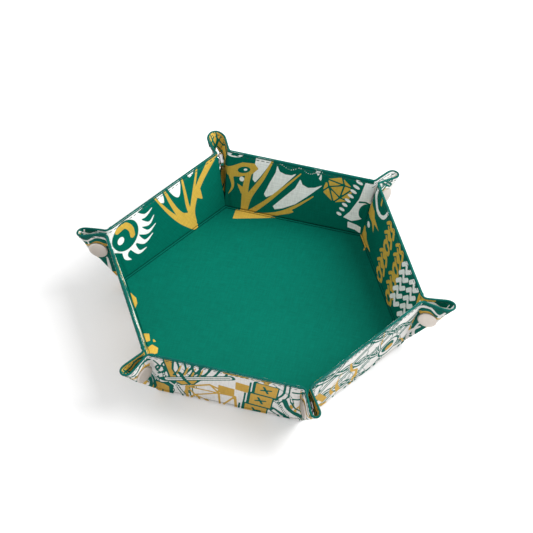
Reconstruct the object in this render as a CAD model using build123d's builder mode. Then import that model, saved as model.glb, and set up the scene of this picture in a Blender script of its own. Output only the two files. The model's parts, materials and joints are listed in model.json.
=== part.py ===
"""Folding hexagonal dice tray with snap corners.

Six boarded walls stand on a hexagonal floor. Between neighbouring walls the cloth has no board: it
folds outward into an ear of two halves, which a snap fastener holds together. With the snaps open,
everything folds down flat.

Units are millimetres. +Z is up, the floor's underside is z = 0 and the origin is at its centre.
The tray is modelled standing, with its snaps closed.
"""
import os
from math import atan, atan2, cos, degrees, hypot, pi, radians, sin, tan

from build123d import *

# Driving dimensions
SIDE = 92.0                 # side of the floor hexagon, measured along the fold lines
WALL_REACH = 45.0           # fold line to rim, measured up the wall
WALL_FOLD = 77.0            # degrees that a wall stands up from flat
CLOTH = 0.7                 # one glued cloth layer
BOARD = 1.8                 # stiffener board
EAR_CLOTH = 1.6             # both cloth layers of an ear, glued together
EAR_HALF_GAP = 2.6          # middle of an ear half to the plane that halves the corner

# Where each layer stops short of the fold line or crease
BOARD_SETBACK = 2.6
LINING_SETBACK = 1.45
COVER_SETBACK = 0.9
WALL_CREASE_SETBACK = 0.4
BOARD_CREASE_SETBACK = 2.4
EAR_CREASE_SETBACK = 0.8
EAR_TIP_SETBACK = 0.5       # ear half short of the fold at its own tip
EAR_FOOT = 4.0              # ear starts this far up the crease
EAR_TIP_RADIUS = 8.0        # rounded corner of the flat tray's outline

# Rim binding
BINDING_DEPTH = 3.0         # how far the turned edge reaches down between the cloths
BINDING_CAP = 0.5           # thickness over the cloths' edges

# Snap fastener
SNAP_UP = 32.5              # along the crease from the foot of the corner
SNAP_OUT = 8.5              # from the crease
CAP_RADIUS = 6.25
CAP_THICKNESS = 1.1
CAP_EDGE_RADIUS = 0.5
POST_RADIUS = 1.7
FLANGE_RADIUS = 5.0
FLANGE_THICKNESS = 0.7
SOCKET_RADIUS = 4.4
SOCKET_BORE_RADIUS = 3.5
SOCKET_FLOOR = 0.5
SOCKET_HEIGHT = 2.4
STUD_RADIUS = 2.6
STUD_HEIGHT = 2.6
STUD_EDGE_RADIUS = 0.4

WALLS = 6
WALL_STEP = 360.0 / WALLS

# Derived sizes
THICKNESS = 2 * CLOTH + BOARD
MIDDLE = THICKNESS / 2
APOTHEM = SIDE * cos(pi / WALLS)
FOLD = radians(WALL_FOLD)
CREASE_TILT = atan(tan(pi / WALLS) * cos(FOLD))     # crease, leaning away from the wall's upright
EAR_SECTOR = pi / WALLS - CREASE_TILT               # crease to the fold at the ear's tip
# A wall meets the plane that halves the corner at this angle
CORNER_ANGLE = pi / 2 - atan2(sin(FOLD) * sin(pi / WALLS), hypot(cos(FOLD), sin(FOLD) * cos(pi / WALLS)))
CREASE_INSET = EAR_HALF_GAP / sin(CORNER_ANGLE)     # crease moved into the wall to open the ear
CREASE_START = SIDE / 2 - CREASE_INSET / cos(CREASE_TILT)

os.makedirs("parts", exist_ok=True)


def save(shape, name):
    """Label one finished sub-part and write its STEP file."""
    shape.label = name
    export_step(shape, f"parts/{name}.step")


def wall_azimuth(number):
    return WALL_STEP * (number - 0.5)


def wall_plane(number, fold=FOLD):
    """Middle plane of a wall: x runs from the fold line to the rim, z points to the lining."""
    azimuth = radians(wall_azimuth(number))
    outward = Vector(cos(azimuth), sin(azimuth), 0)
    up = Vector(0, 0, 1)
    origin = outward * APOTHEM + up * MIDDLE
    return Plane(
        origin=origin,
        x_dir=outward * cos(fold) + up * sin(fold),
        z_dir=up * cos(fold) - outward * sin(fold),
    )


def ear_fold_angle():
    """Radians that an ear half turns outward about its crease, from flat to pinched."""
    wall = wall_plane(1)
    corner = radians(WALL_STEP)
    across_corner = Vector(-sin(corner), cos(corner), 0)
    outward_in_wall = wall.y_dir * cos(CREASE_TILT) - wall.x_dir * sin(CREASE_TILT)
    return atan2(outward_in_wall.dot(across_corner), wall.z_dir.dot(across_corner))


def ear_plane(number, end):
    """Middle plane of an ear half: x up the crease, z to the cover side, end is +1 left, -1 right.

    The ear lies on the side -end of the plane's y axis.
    """
    wall = wall_plane(number)
    up_crease = wall.x_dir * cos(CREASE_TILT) + wall.y_dir * (end * sin(CREASE_TILT))
    past_crease = wall.y_dir * (end * cos(CREASE_TILT)) - wall.x_dir * sin(CREASE_TILT)
    turn = ear_fold_angle()
    outward = past_crease * cos(turn) - wall.z_dir * sin(turn)
    return Plane(
        origin=wall.from_local_coords(Vector(0, end * CREASE_START, 0)),
        x_dir=up_crease,
        z_dir=up_crease.cross(outward * -end),
    )


def wall_outline(low, high, crease_setback):
    """Trapezoid between two heights up the wall, its ends parallel to the creases."""
    with BuildLine() as outline:
        ends = []
        for height in (low, high):
            half = CREASE_START + height * tan(CREASE_TILT) - crease_setback / cos(CREASE_TILT)
            ends.append(half)
        Polyline(
            (low, -ends[0]),
            (high, -ends[1]),
            (high, ends[1]),
            (low, ends[0]),
            close=True,
        )
    make_face(outline.edges())


def hexagon(apothem):
    RegularPolygon(radius=apothem / cos(pi / WALLS), side_count=WALLS)


def make_floor():
    with BuildPart() as base_cover:
        with BuildSketch(Plane.XY):
            hexagon(APOTHEM - COVER_SETBACK)
        extrude(amount=CLOTH)
    save(base_cover.part, "base_cover")

    with BuildPart() as base_board:
        with BuildSketch(Plane.XY.offset(CLOTH)):
            hexagon(APOTHEM - BOARD_SETBACK)
        extrude(amount=BOARD)
    save(base_board.part, "base_board")

    with BuildPart() as base_lining:
        with BuildSketch(Plane.XY.offset(CLOTH + BOARD)):
            hexagon(APOTHEM - LINING_SETBACK)
        extrude(amount=CLOTH)
    save(base_lining.part, "base_lining")


def make_wall(number):
    middle = wall_plane(number)
    cloth_top = WALL_REACH - BINDING_CAP
    board_top = WALL_REACH - BINDING_DEPTH

    with BuildPart() as wall_cover:
        with BuildSketch(middle.offset(-MIDDLE)):
            wall_outline(COVER_SETBACK, cloth_top, WALL_CREASE_SETBACK)
        extrude(amount=CLOTH)
    save(wall_cover.part, f"wall_cover_{number}")

    with BuildPart() as wall_board:
        with BuildSketch(middle.offset(CLOTH - MIDDLE)):
            wall_outline(BOARD_SETBACK, board_top, BOARD_CREASE_SETBACK)
        extrude(amount=BOARD)
    save(wall_board.part, f"wall_board_{number}")

    with BuildPart() as wall_lining:
        with BuildSketch(middle.offset(MIDDLE - CLOTH)):
            wall_outline(LINING_SETBACK, cloth_top, WALL_CREASE_SETBACK)
        extrude(amount=CLOTH)
    save(wall_lining.part, f"wall_lining_{number}")

    with BuildPart() as rim_binding:
        with BuildSketch(middle.offset(CLOTH - MIDDLE)):
            wall_outline(board_top, WALL_REACH, WALL_CREASE_SETBACK)
        extrude(amount=BOARD)
        with BuildSketch(middle.offset(-MIDDLE)):
            wall_outline(cloth_top, WALL_REACH, WALL_CREASE_SETBACK)
        extrude(amount=THICKNESS)
    save(rim_binding.part, f"rim_binding_{number}")


def ear_point(along, across, end):
    """Point of the ear's outline, from distances up the crease and out from it."""
    return (along, -end * across)


def ear_outline(end):
    """Half ear between its crease, the rim line and the fold at its tip, with a rounded corner."""
    # The foot of the corner, where the tip fold starts, from the crease's own start
    foot_along = CREASE_INSET * tan(CREASE_TILT)
    foot_across = CREASE_INSET
    rim_along = WALL_REACH / cos(CREASE_TILT)
    low_across = foot_across + (EAR_FOOT - foot_along) * tan(EAR_SECTOR) - EAR_TIP_SETBACK / cos(EAR_SECTOR)
    # The rim rises away from the crease by the crease's own tilt
    crease_rim = (rim_along + EAR_CREASE_SETBACK * tan(CREASE_TILT), EAR_CREASE_SETBACK)
    fold_length = WALL_REACH / cos(pi / WALLS)
    tip_length = fold_length - EAR_TIP_RADIUS * (1 / cos(pi / WALLS) - 1)
    tip_along = foot_along + tip_length * cos(EAR_SECTOR) + EAR_TIP_SETBACK * sin(EAR_SECTOR)
    tip_across = foot_across + tip_length * sin(EAR_SECTOR) - EAR_TIP_SETBACK * cos(EAR_SECTOR)
    corner_along = foot_along + fold_length * cos(EAR_SECTOR)
    corner_across = foot_across + fold_length * sin(EAR_SECTOR)
    run = EAR_TIP_RADIUS * tan(pi / WALLS)
    round_start = (corner_along - run * sin(CREASE_TILT), corner_across - run * cos(CREASE_TILT))
    with BuildLine() as outline:
        Polyline(
            ear_point(tip_along, tip_across, end),
            ear_point(EAR_FOOT, low_across, end),
            ear_point(EAR_FOOT, EAR_CREASE_SETBACK, end),
            ear_point(*crease_rim, end),
            ear_point(*round_start, end),
        )
        TangentArc(
            ear_point(*round_start, end),
            ear_point(tip_along, tip_across, end),
            tangent=(sin(CREASE_TILT), -end * cos(CREASE_TILT)),
        )
    make_face(outline.edges())


def snap_circle(radius, end):
    with Locations(ear_point(SNAP_UP, SNAP_OUT, end)):
        Circle(radius)


def make_ear(number, end, side):
    middle = ear_plane(number, end)
    with BuildPart() as ear:
        with BuildSketch(middle.offset(-EAR_CLOTH / 2)):
            ear_outline(end)
        extrude(amount=EAR_CLOTH)
        with BuildSketch(middle.offset(-EAR_CLOTH / 2)):
            snap_circle(POST_RADIUS, end)
        extrude(amount=EAR_CLOTH, mode=Mode.SUBTRACT)
    save(ear.part, f"ear_{side}_{number}")


def snap_cap(middle, end):
    """Round cap on the cover side with the post that goes through the cloth."""
    with BuildPart() as cap:
        with BuildSketch(middle.offset(EAR_CLOTH / 2)):
            snap_circle(CAP_RADIUS, end)
        extrude(amount=CAP_THICKNESS)
        fillet(cap.edges().group_by(Axis(middle.origin, middle.z_dir))[-1], radius=CAP_EDGE_RADIUS)
        with BuildSketch(middle.offset(-EAR_CLOTH / 2)):
            snap_circle(POST_RADIUS, end)
        extrude(amount=EAR_CLOTH)
    return cap.part


def make_snap_socket(number, end):
    """Cap, and the ring on the inner side that the stud presses into."""
    middle = ear_plane(number, end)
    inner = Plane(middle.offset(-EAR_CLOTH / 2).origin, middle.x_dir, middle.z_dir * -1)
    with BuildPart() as socket:
        with BuildSketch(inner):
            snap_circle(FLANGE_RADIUS, -end)
        extrude(amount=FLANGE_THICKNESS)
        with BuildSketch(inner):
            snap_circle(SOCKET_RADIUS, -end)
        extrude(amount=SOCKET_HEIGHT)
        with BuildSketch(inner.offset(SOCKET_FLOOR)):
            snap_circle(SOCKET_BORE_RADIUS, -end)
        extrude(amount=SOCKET_HEIGHT, mode=Mode.SUBTRACT)
    save(Compound([snap_cap(middle, end), socket.part]), f"snap_socket_{number}")


def make_snap_stud(number, end):
    """Cap, and the round-topped stud on the inner side."""
    middle = ear_plane(number, end)
    inner = Plane(middle.offset(-EAR_CLOTH / 2).origin, middle.x_dir, middle.z_dir * -1)
    with BuildPart() as stud:
        with BuildSketch(inner):
            snap_circle(FLANGE_RADIUS, -end)
        extrude(amount=FLANGE_THICKNESS)
        with BuildSketch(inner):
            snap_circle(STUD_RADIUS, -end)
        extrude(amount=STUD_HEIGHT)
        fillet(stud.edges().group_by(Axis(inner.origin, inner.z_dir))[-1], radius=STUD_EDGE_RADIUS)
    save(Compound([snap_cap(middle, end), stud.part]), f"snap_stud_{number}")


def print_joints():
    """Print each hinge's place and axis, for the record."""
    ear_ratio = ear_fold_angle() / FOLD
    print(f"ear fold {degrees(ear_fold_angle()):.4f} degrees, ratio {ear_ratio:.6f}")
    for number in range(1, WALLS + 1):
        wall = wall_plane(number)
        print("wall", number, wall.origin, wall.y_dir)
        for end, side in ((1, "left"), (-1, "right")):
            ear = ear_plane(number, end)
            print("ear", side, number, ear.origin, ear.x_dir * end)


make_floor()
for wall_number in range(1, WALLS + 1):
    make_wall(wall_number)
    make_ear(wall_number, 1, "left")
    make_ear(wall_number, -1, "right")
    make_snap_socket(wall_number, 1)
    make_snap_stud(wall_number, -1)
print_joints()
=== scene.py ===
"""Looks of the folding hexagonal dice tray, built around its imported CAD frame.

Lengths are in millimetres until a mesh is made, where they turn into metres.
Each wall has its own frame: outward, along (anticlockwise from above) and up. A point of the cloth is
named by its place on the unfolded tray: `height` past the fold line and `along` it, or by the angle
and distance from a corner of the floor. Print is stored on the mesh as signed distances to the
motifs' outlines, and the cloth material turns them into ink with crisp edges.
"""
import json
import math
import random

import bmesh
import bpy
import numpy as np
from mathutils import Matrix, Vector


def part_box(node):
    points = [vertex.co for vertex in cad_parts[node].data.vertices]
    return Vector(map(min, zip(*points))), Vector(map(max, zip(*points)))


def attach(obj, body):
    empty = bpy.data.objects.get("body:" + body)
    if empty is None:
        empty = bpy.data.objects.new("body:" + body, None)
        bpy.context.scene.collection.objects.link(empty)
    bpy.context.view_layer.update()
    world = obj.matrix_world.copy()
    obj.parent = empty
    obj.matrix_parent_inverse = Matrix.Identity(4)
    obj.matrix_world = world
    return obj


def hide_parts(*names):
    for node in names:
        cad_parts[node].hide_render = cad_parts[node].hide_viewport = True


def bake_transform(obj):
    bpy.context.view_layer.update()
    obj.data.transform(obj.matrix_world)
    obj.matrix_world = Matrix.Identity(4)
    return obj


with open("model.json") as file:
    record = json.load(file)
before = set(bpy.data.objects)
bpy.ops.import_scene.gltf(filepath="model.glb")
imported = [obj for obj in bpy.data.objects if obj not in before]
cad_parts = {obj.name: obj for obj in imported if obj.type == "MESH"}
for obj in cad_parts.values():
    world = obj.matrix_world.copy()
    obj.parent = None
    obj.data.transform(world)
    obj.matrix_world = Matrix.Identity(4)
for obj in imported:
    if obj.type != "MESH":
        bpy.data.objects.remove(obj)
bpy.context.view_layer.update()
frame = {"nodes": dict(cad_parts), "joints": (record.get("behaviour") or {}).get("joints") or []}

# ------------------------------------------------------------------ sizes, from the frame
MM = 0.001
WELD = 1e-8                 # in metres: joins only points that coincide, as an ear's rows nearly meet
SPIN_WELD = 1e-6
UV_SCALE = MM * 10          # one unit of the UV map is 100 mm of flat cloth
NO_INK = 9.0                # starting distance to the nearest motif
FAR = 99.0
JOINTS = {joint["name"]: joint for joint in frame["joints"]}
WALLS = 6
HALF_CORNER = math.pi / WALLS
FIRST_FOLD = JOINTS["wall_1_fold"]
FOLD = math.radians(FIRST_FOLD["range_deg"][1])
APOTHEM = math.hypot(*FIRST_FOLD["pos_m"][:2]) / MM
MIDDLE = FIRST_FOLD["pos_m"][2] / MM
SIDE = 2 * APOTHEM * math.tan(HALF_CORNER)
RIM_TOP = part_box("rim_binding_2")[1][2] / MM
REACH = (RIM_TOP - MIDDLE - MIDDLE * math.cos(FOLD)) / math.sin(FOLD)

CREASE = JOINTS["ear_left_2_fold"]
CREASE_START = -CREASE["pos_m"][0] / MM
CREASE_TILT = math.asin(-CREASE["axis"][0])
PINCH_TURN = math.radians(CREASE["range_deg"][1])
EAR_GAP = (SIDE / 2 - CREASE_START) * math.cos(HALF_CORNER)

# ------------------------------------------------------------------ cloth and laminate
WALL_HALF = 1.15            # half the thickness of a wall
RIM_HALF = 0.9              # and of its sewn edge, above the board
EAR_HALF = 0.62             # and of an ear, which has no board
BOARD_HALF = 0.92           # where the cloth's inner face lies on a board
BOARD_SETBACK = 2.4         # from an ear's crease to the board's end
GROOVES = (-0.7, 1.9)       # two pressed lines along each fold
GROOVE_DEPTH = 0.8
GROOVE_WIDTH = 0.5
FOLD_TANGENT = 1.8          # the fold's curve starts and ends this far from the fold line
FLOOR_STRIP = 10.5          # each wall's cloth also covers this much of the floor
GRID = 0.7                  # spacing of mesh points where there is print
WALL_EDGE = 0.75            # painted edge, down each face
EAR_EDGE = 0.55
EDGE_PROUD = 0.08
EDGE_ROUND = 1.1
STITCH_DEPTH = 2.7          # thread line below the rim
STITCH_PITCH = 3.4
STITCH_LENGTH = 2.7
STITCH_WIDTH = 0.5
STITCH_HEIGHT = 0.4
DIP_DEPTH = 0.28            # how far the thread pulls the cloth down
DIP_WIDTH = 0.8
RIM_TAPER = (1.5, 2.8)      # a wall thins to its sewn edge between these distances from the rim
FOLD_TAPER = (0.0, 2.6)     # and thickens over these heights past the fold
BOARD_END_TAPER = (0.3, 3.0)
CLOTH_GAP = 0.03            # half the gap between lining and cover where there is no board
CLOTH_LEAST = 0.2

# ------------------------------------------------------------------ ears
PINCH_WIDTH = math.radians(7.0)
PINCH_RUN = 16.0            # from a loop's mouth to where it is widest
EAR_TIP_RADIUS = 8.0
EAR_STEPS = 120
EAR_ROUND = 0.7
EAR_EDGE_ROUND = 0.8
EAR_FOOT = 2.0              # an ear's cloth starts this far from the corner of the floor
SOLVER_STEP = 1e-4
SOLVER_ROUNDS = 12
# For the corner at each azimuth: half width of the loop at its tip and at its mouth, how many degrees
# it droops, and the share by which its tip is made longer than the regular cut, to suit that corner
LOOPS = {
    0: (4.3, 1.5, 0.0, 0.050),
    60: (3.8, 1.6, 1.5, -0.030),
    120: (5.9, 4.6, 0.0, 0.010),
    180: (3.9, 1.5, 1.5, -0.040),
    240: (3.9, 1.7, 1.0, 0.0),
    300: (3.0, 1.7, 1.0, 0.020),
}

# ------------------------------------------------------------------ snaps
SNAP_UP = 32.5
SNAP_OUT = 8.5
SNAP_PULL = (5.5, 10.5)     # the cloth lies flat on a snap up to the first radius
PULL_LIMIT = 2.0


# ================================================================== small maths
def smooth(edge_low, edge_high, value):
    t = np.clip((np.asarray(value, float) - edge_low) / (edge_high - edge_low), 0, 1)
    return t * t * (3 - 2 * t)


def unit(vector):
    return vector / np.linalg.norm(vector)


def turned(vectors, axis, angles):
    """Vectors turned about an axis, each by its own angle."""
    angles = np.asarray(angles)[..., None]
    level = (vectors @ axis)[..., None] * axis
    return level + (vectors - level) * np.cos(angles) + np.cross(axis, vectors) * np.sin(angles)


def surface_normals(mid, guess):
    """Normals of a grid, on the side of the guessed ones."""
    normal = np.cross(np.gradient(mid, axis=0), np.gradient(mid, axis=1))
    normal /= np.linalg.norm(normal, axis=-1)[..., None]
    return normal * np.sign(np.sum(normal * guess, axis=-1))[..., None]


def round_edge(distance, depth):
    """Share of the full thickness this far in from a rounded edge."""
    inside = np.clip(distance / depth, 0, 1)
    return (1 - (1 - inside) ** 2.6) ** (1 / 2.6)


class WallFrame:
    """Directions and fold line of one wall, 1 to 6."""

    def __init__(self, number):
        joint = JOINTS[f"wall_{number}_fold"]
        self.number = number
        self.origin = np.array(joint["pos_m"]) / MM
        self.along = unit(np.array(joint["axis"]))
        self.up = np.array([0.0, 0.0, 1.0])
        self.outward = np.cross(self.along, self.up)
        self.upright = self.outward * math.cos(FOLD) + self.up * math.sin(FOLD)
        self.inward = self.up * math.cos(FOLD) - self.outward * math.sin(FOLD)

    def flat(self, height, along):
        """Place on the unfolded tray."""
        return (APOTHEM + height)[..., None] * self.outward[:2] + along[..., None] * self.along[:2]


# ================================================================== meshes
def finish_mesh(name, bm, sharp=50):
    """Turn a bmesh into a piece, with points that coincide joined and edges past `sharp` degrees kept."""
    bmesh.ops.remove_doubles(bm, verts=bm.verts, dist=WELD)
    bmesh.ops.dissolve_degenerate(bm, edges=bm.edges, dist=WELD)
    mesh = bpy.data.meshes.new(name)
    bm.to_mesh(mesh)
    bm.free()
    mesh.shade_smooth()
    mesh.set_sharp_from_angle(angle=math.radians(sharp))
    piece = bpy.data.objects.new(name, mesh)
    bpy.context.scene.collection.objects.link(piece)
    return piece


def grid_faces(index, flip):
    """Quads between the neighbouring points of a grid of point numbers."""
    quads = np.stack([index[:-1, :-1], index[1:, :-1], index[1:, 1:], index[:-1, 1:]], -1).reshape(-1, 4)
    return quads[:, ::-1] if flip else quads


def mesh_from_arrays(name, points, faces, attributes, flat, sharp=50):
    """Mesh in metres from millimetre points, with point attributes and the cloth's flat UV map."""
    mesh = bpy.data.meshes.new(name)
    mesh.from_pydata((points * MM).tolist(), [], faces.tolist())
    for key, values in attributes.items():
        layer = mesh.attributes.new(key, "FLOAT", "POINT")
        layer.data.foreach_set("value", np.asarray(values, np.float32))
    corner = np.empty(len(mesh.loops), np.int32)
    mesh.loops.foreach_get("vertex_index", corner)
    uv = mesh.uv_layers.new(name="cloth")
    uv.data.foreach_set("uv", (flat[corner] * UV_SCALE).astype(np.float32).ravel())
    bm = bmesh.new()
    bm.from_mesh(mesh)
    bpy.data.meshes.remove(mesh)
    return finish_mesh(name, bm, sharp)


def shell(name, mid, normal, high, low, flat, art, sharp=50, ring=False):
    """Closed sheet over a grid: `high` and `low` are its faces' heights above the middle surface.

    art(face) gives the point attributes of the high face (1) and the low face (-1). In a ring the grid's
    last row joins its first, and its first column is one point in the middle.
    """
    top = mid + high[..., None] * normal
    bottom = mid + low[..., None] * normal
    run_i = mid[1:, :-1] - mid[:-1, :-1]
    run_j = mid[:-1, 1:] - mid[:-1, :-1]
    flip = np.sum(np.cross(run_i, run_j) * normal[:-1, :-1]) < 0
    size = mid.shape[0] * mid.shape[1]
    index = np.arange(size).reshape(mid.shape[:2])
    if ring:
        index = np.concatenate([index, index[:1]])
    faces = [grid_faces(index, flip), grid_faces(index + size, not flip)]
    rims = (index[::-1, -1],) if ring else (index[:, 0], index[-1, :], index[::-1, -1], index[0, ::-1])
    for line in rims:
        a, b = line[:-1], line[1:]
        side = np.stack([a, a + size, b + size, b], -1)
        faces.append(side[:, ::-1] if flip else side)
    upper, lower = art(1), art(-1)
    attributes = {key: np.concatenate([upper[key].ravel(), lower[key].ravel()]) for key in upper}
    points = np.concatenate([top.reshape(-1, 3), bottom.reshape(-1, 3)])
    flat_points = np.concatenate([flat.reshape(-1, 2)] * 2)
    return mesh_from_arrays(name, points, np.concatenate(faces), attributes, flat_points, sharp)


def spin(name, outline, centre, axis, steps=64, sharp=35):
    """Solid of revolution from (radius, height) points about an axis through centre."""
    bm = bmesh.new()
    points = [bm.verts.new((radius * MM, 0, height * MM)) for radius, height in outline]
    edges = [bm.edges.new(pair) for pair in zip(points[:-1], points[1:])]
    bmesh.ops.spin(
        bm, geom=points + edges, cent=(0, 0, 0), axis=(0, 0, 1), angle=2 * math.pi, steps=steps,
        use_merge=True,
    )
    bmesh.ops.remove_doubles(bm, verts=bm.verts, dist=SPIN_WELD)
    bmesh.ops.recalc_face_normals(bm, faces=bm.faces)
    turn = Vector((0, 0, 1)).rotation_difference(Vector(axis)).to_matrix().to_4x4()
    bm.transform(Matrix.Translation(Vector(centre) * MM) @ turn)
    return finish_mesh(name, bm, sharp)


# ================================================================== print
class Ink:
    """Two inks over a ground, each a signed distance in mm that is negative inside a motif."""

    def __init__(self, right, height):
        self.x = np.asarray(right, float)
        self.y = np.asarray(height, float)
        self.plain = np.full(self.x.shape, NO_INK)
        self.gold = np.full(self.x.shape, NO_INK)

    def lay(self, colour, distance):
        """Put a motif of one colour over what is there: plain, gold or ground."""
        if colour == "plain":
            self.plain = np.minimum(self.plain, distance)
            self.gold = np.maximum(self.gold, -distance)
        elif colour == "gold":
            self.gold = np.minimum(self.gold, distance)
        else:
            self.plain = np.maximum(self.plain, -distance)
            self.gold = np.maximum(self.gold, -distance)

    def segment(self, a, b):
        """Distance to a segment, and the share of the way along it."""
        run_x, run_y = b[0] - a[0], b[1] - a[1]
        length2 = run_x * run_x + run_y * run_y
        share = np.clip(((self.x - a[0]) * run_x + (self.y - a[1]) * run_y) / length2, 0, 1)
        return np.hypot(self.x - a[0] - share * run_x, self.y - a[1] - share * run_y), share

    def stroke(self, colour, points, start, end=None, bend=True):
        """Tapered line through points, with its half widths at both ends."""
        end = start if end is None else end
        line = curve(points) if bend and len(points) > 2 else points
        runs = [math.dist(a, b) for a, b in zip(line[:-1], line[1:])]
        total, gone = sum(runs), 0.0
        best = np.full(self.x.shape, FAR)
        for a, b, run in zip(line[:-1], line[1:], runs):
            distance, share = self.segment(a, b)
            width = start + (end - start) * (gone + share * run) / total
            best = np.minimum(best, distance - width)
            gone += run
        self.lay(colour, best)

    def shape(self, colour, points, bend=False, grow=0.0):
        """Filled closed outline."""
        line = curve(points, closed=True) if bend else list(points) + [points[0]]
        best = np.full(self.x.shape, FAR)
        inside = np.zeros(self.x.shape, bool)
        for a, b in zip(line[:-1], line[1:]):
            if math.dist(a, b) < 1e-6:
                continue
            best = np.minimum(best, self.segment(a, b)[0])
            crosses = (a[1] > self.y) != (b[1] > self.y)
            if a[1] != b[1]:
                cut = a[0] + (self.y - a[1]) * (b[0] - a[0]) / (b[1] - a[1])
                inside ^= crosses & (self.x < cut)
        self.lay(colour, np.where(inside, -best, best) - grow)

    def strokes(self, colour, *lines):
        """Strokes of one colour, each as its points and its half widths."""
        for points, *widths in lines:
            self.stroke(colour, points, *widths)

    def shapes(self, colour, *outlines):
        for outline in outlines:
            self.shape(colour, outline)

    def oval(self, colour, centre, across, tall, tilt=0.0, ring=0.0):
        """Filled oval, or a ring of this half width on its outline."""
        turn = math.radians(tilt)
        u = (self.x - centre[0]) * math.cos(turn) + (self.y - centre[1]) * math.sin(turn)
        v = (self.y - centre[1]) * math.cos(turn) - (self.x - centre[0]) * math.sin(turn)
        level = np.hypot(u / across, v / tall)
        distance = (level - 1) * min(across, tall)
        self.lay(colour, np.abs(distance) - ring if ring else distance)


def curve(points, closed=False, steps=6):
    """Points of a smooth line through the given ones."""
    count = len(points)
    line = []
    last = count if closed else count - 1
    for i in range(last):
        p0 = points[(i - 1) % count] if closed or i > 0 else points[0]
        p1 = points[i % count]
        p2 = points[(i + 1) % count]
        p3 = points[(i + 2) % count] if closed or i + 2 < count else points[-1]
        for step in range(steps):
            t = step / steps
            line.append(tuple(
                0.5 * (2 * b + (c - a) * t + (2 * a - 5 * b + 4 * c - d) * t * t
                       + (3 * b - a - 3 * c + d) * t ** 3)
                for a, b, c, d in zip(p0, p1, p2, p3)
            ))
    line.append(tuple(points[0] if closed else points[-1]))
    return line


def art_plume(ink):
    """Fan of gold blades with white drops between them, and a moon roundel on a ragged white patch."""
    ink.shape("plain", [(-56, 50), (-24, 50), (-24, 38), (-26, 28), (-31, 21), (-39, 19), (-56, 30)])
    for tongue in (
        [(-30, 47), (-21, 45), (-12, 50)], [(-28, 42), (-20, 37), (-13, 39)],
        [(-27, 36), (-18, 29.5), (-12.5, 33)], [(-28, 31), (-20, 24), (-12.5, 26)],
        [(-31, 27), (-24, 18.5), (-16, 20.5)], [(-35, 24), (-30, 14), (-23, 13.5)],
        [(-40, 22), (-40.5, 16.5), (-37, 12.5)],
    ):
        ink.stroke("plain", tongue, 2.9, 0.3)
    ink.oval("ground", (-37.5, 32.5), 11, 11)
    ink.stroke("gold", [(-43, 39.5), (-36.5, 40), (-32.5, 35), (-32, 29.5)], 2.2, 2.0)
    ink.oval("plain", (-42, 31), 2.8, 2.8)
    ink.shape("plain", [(-9, 47), (-5.5, 38), (-2.6, 36), (-2.2, 39), (-2.6, 47)])
    ink.shape("plain", [(2.5, 47), (5, 38), (9.6, 33), (12, 37.5), (12.5, 47)], bend=True)
    ink.shape("plain", [(18, 47), (21, 41.5), (24, 42), (28, 47)])
    ink.strokes(
        "gold",
        ([(18.5, 2.5), (8, 14), (-1, 28), (-10, 46)], 2.3, 0.5),
        ([(17, 8), (8, 20), (3, 32), (-1, 46)], 2.6, 0.7),
        ([(17, 14), (15.4, 22), (15.2, 32), (14.8, 46)], 1.6, 0.7),
        ([(18, 12), (19, 20), (23, 31), (29, 46)], 1.6, 0.7),
        ([(18.5, 6), (19, 17), (28, 32), (45, 46)], 1.8, 3.0),
    )
    ink.shape("gold", [(18.8, 1.2), (4, 17), (9, 20), (16, 16), (19.5, 12)])
    ink.shape("gold", [(23, 24), (28.5, 19), (28, 28)])


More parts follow.
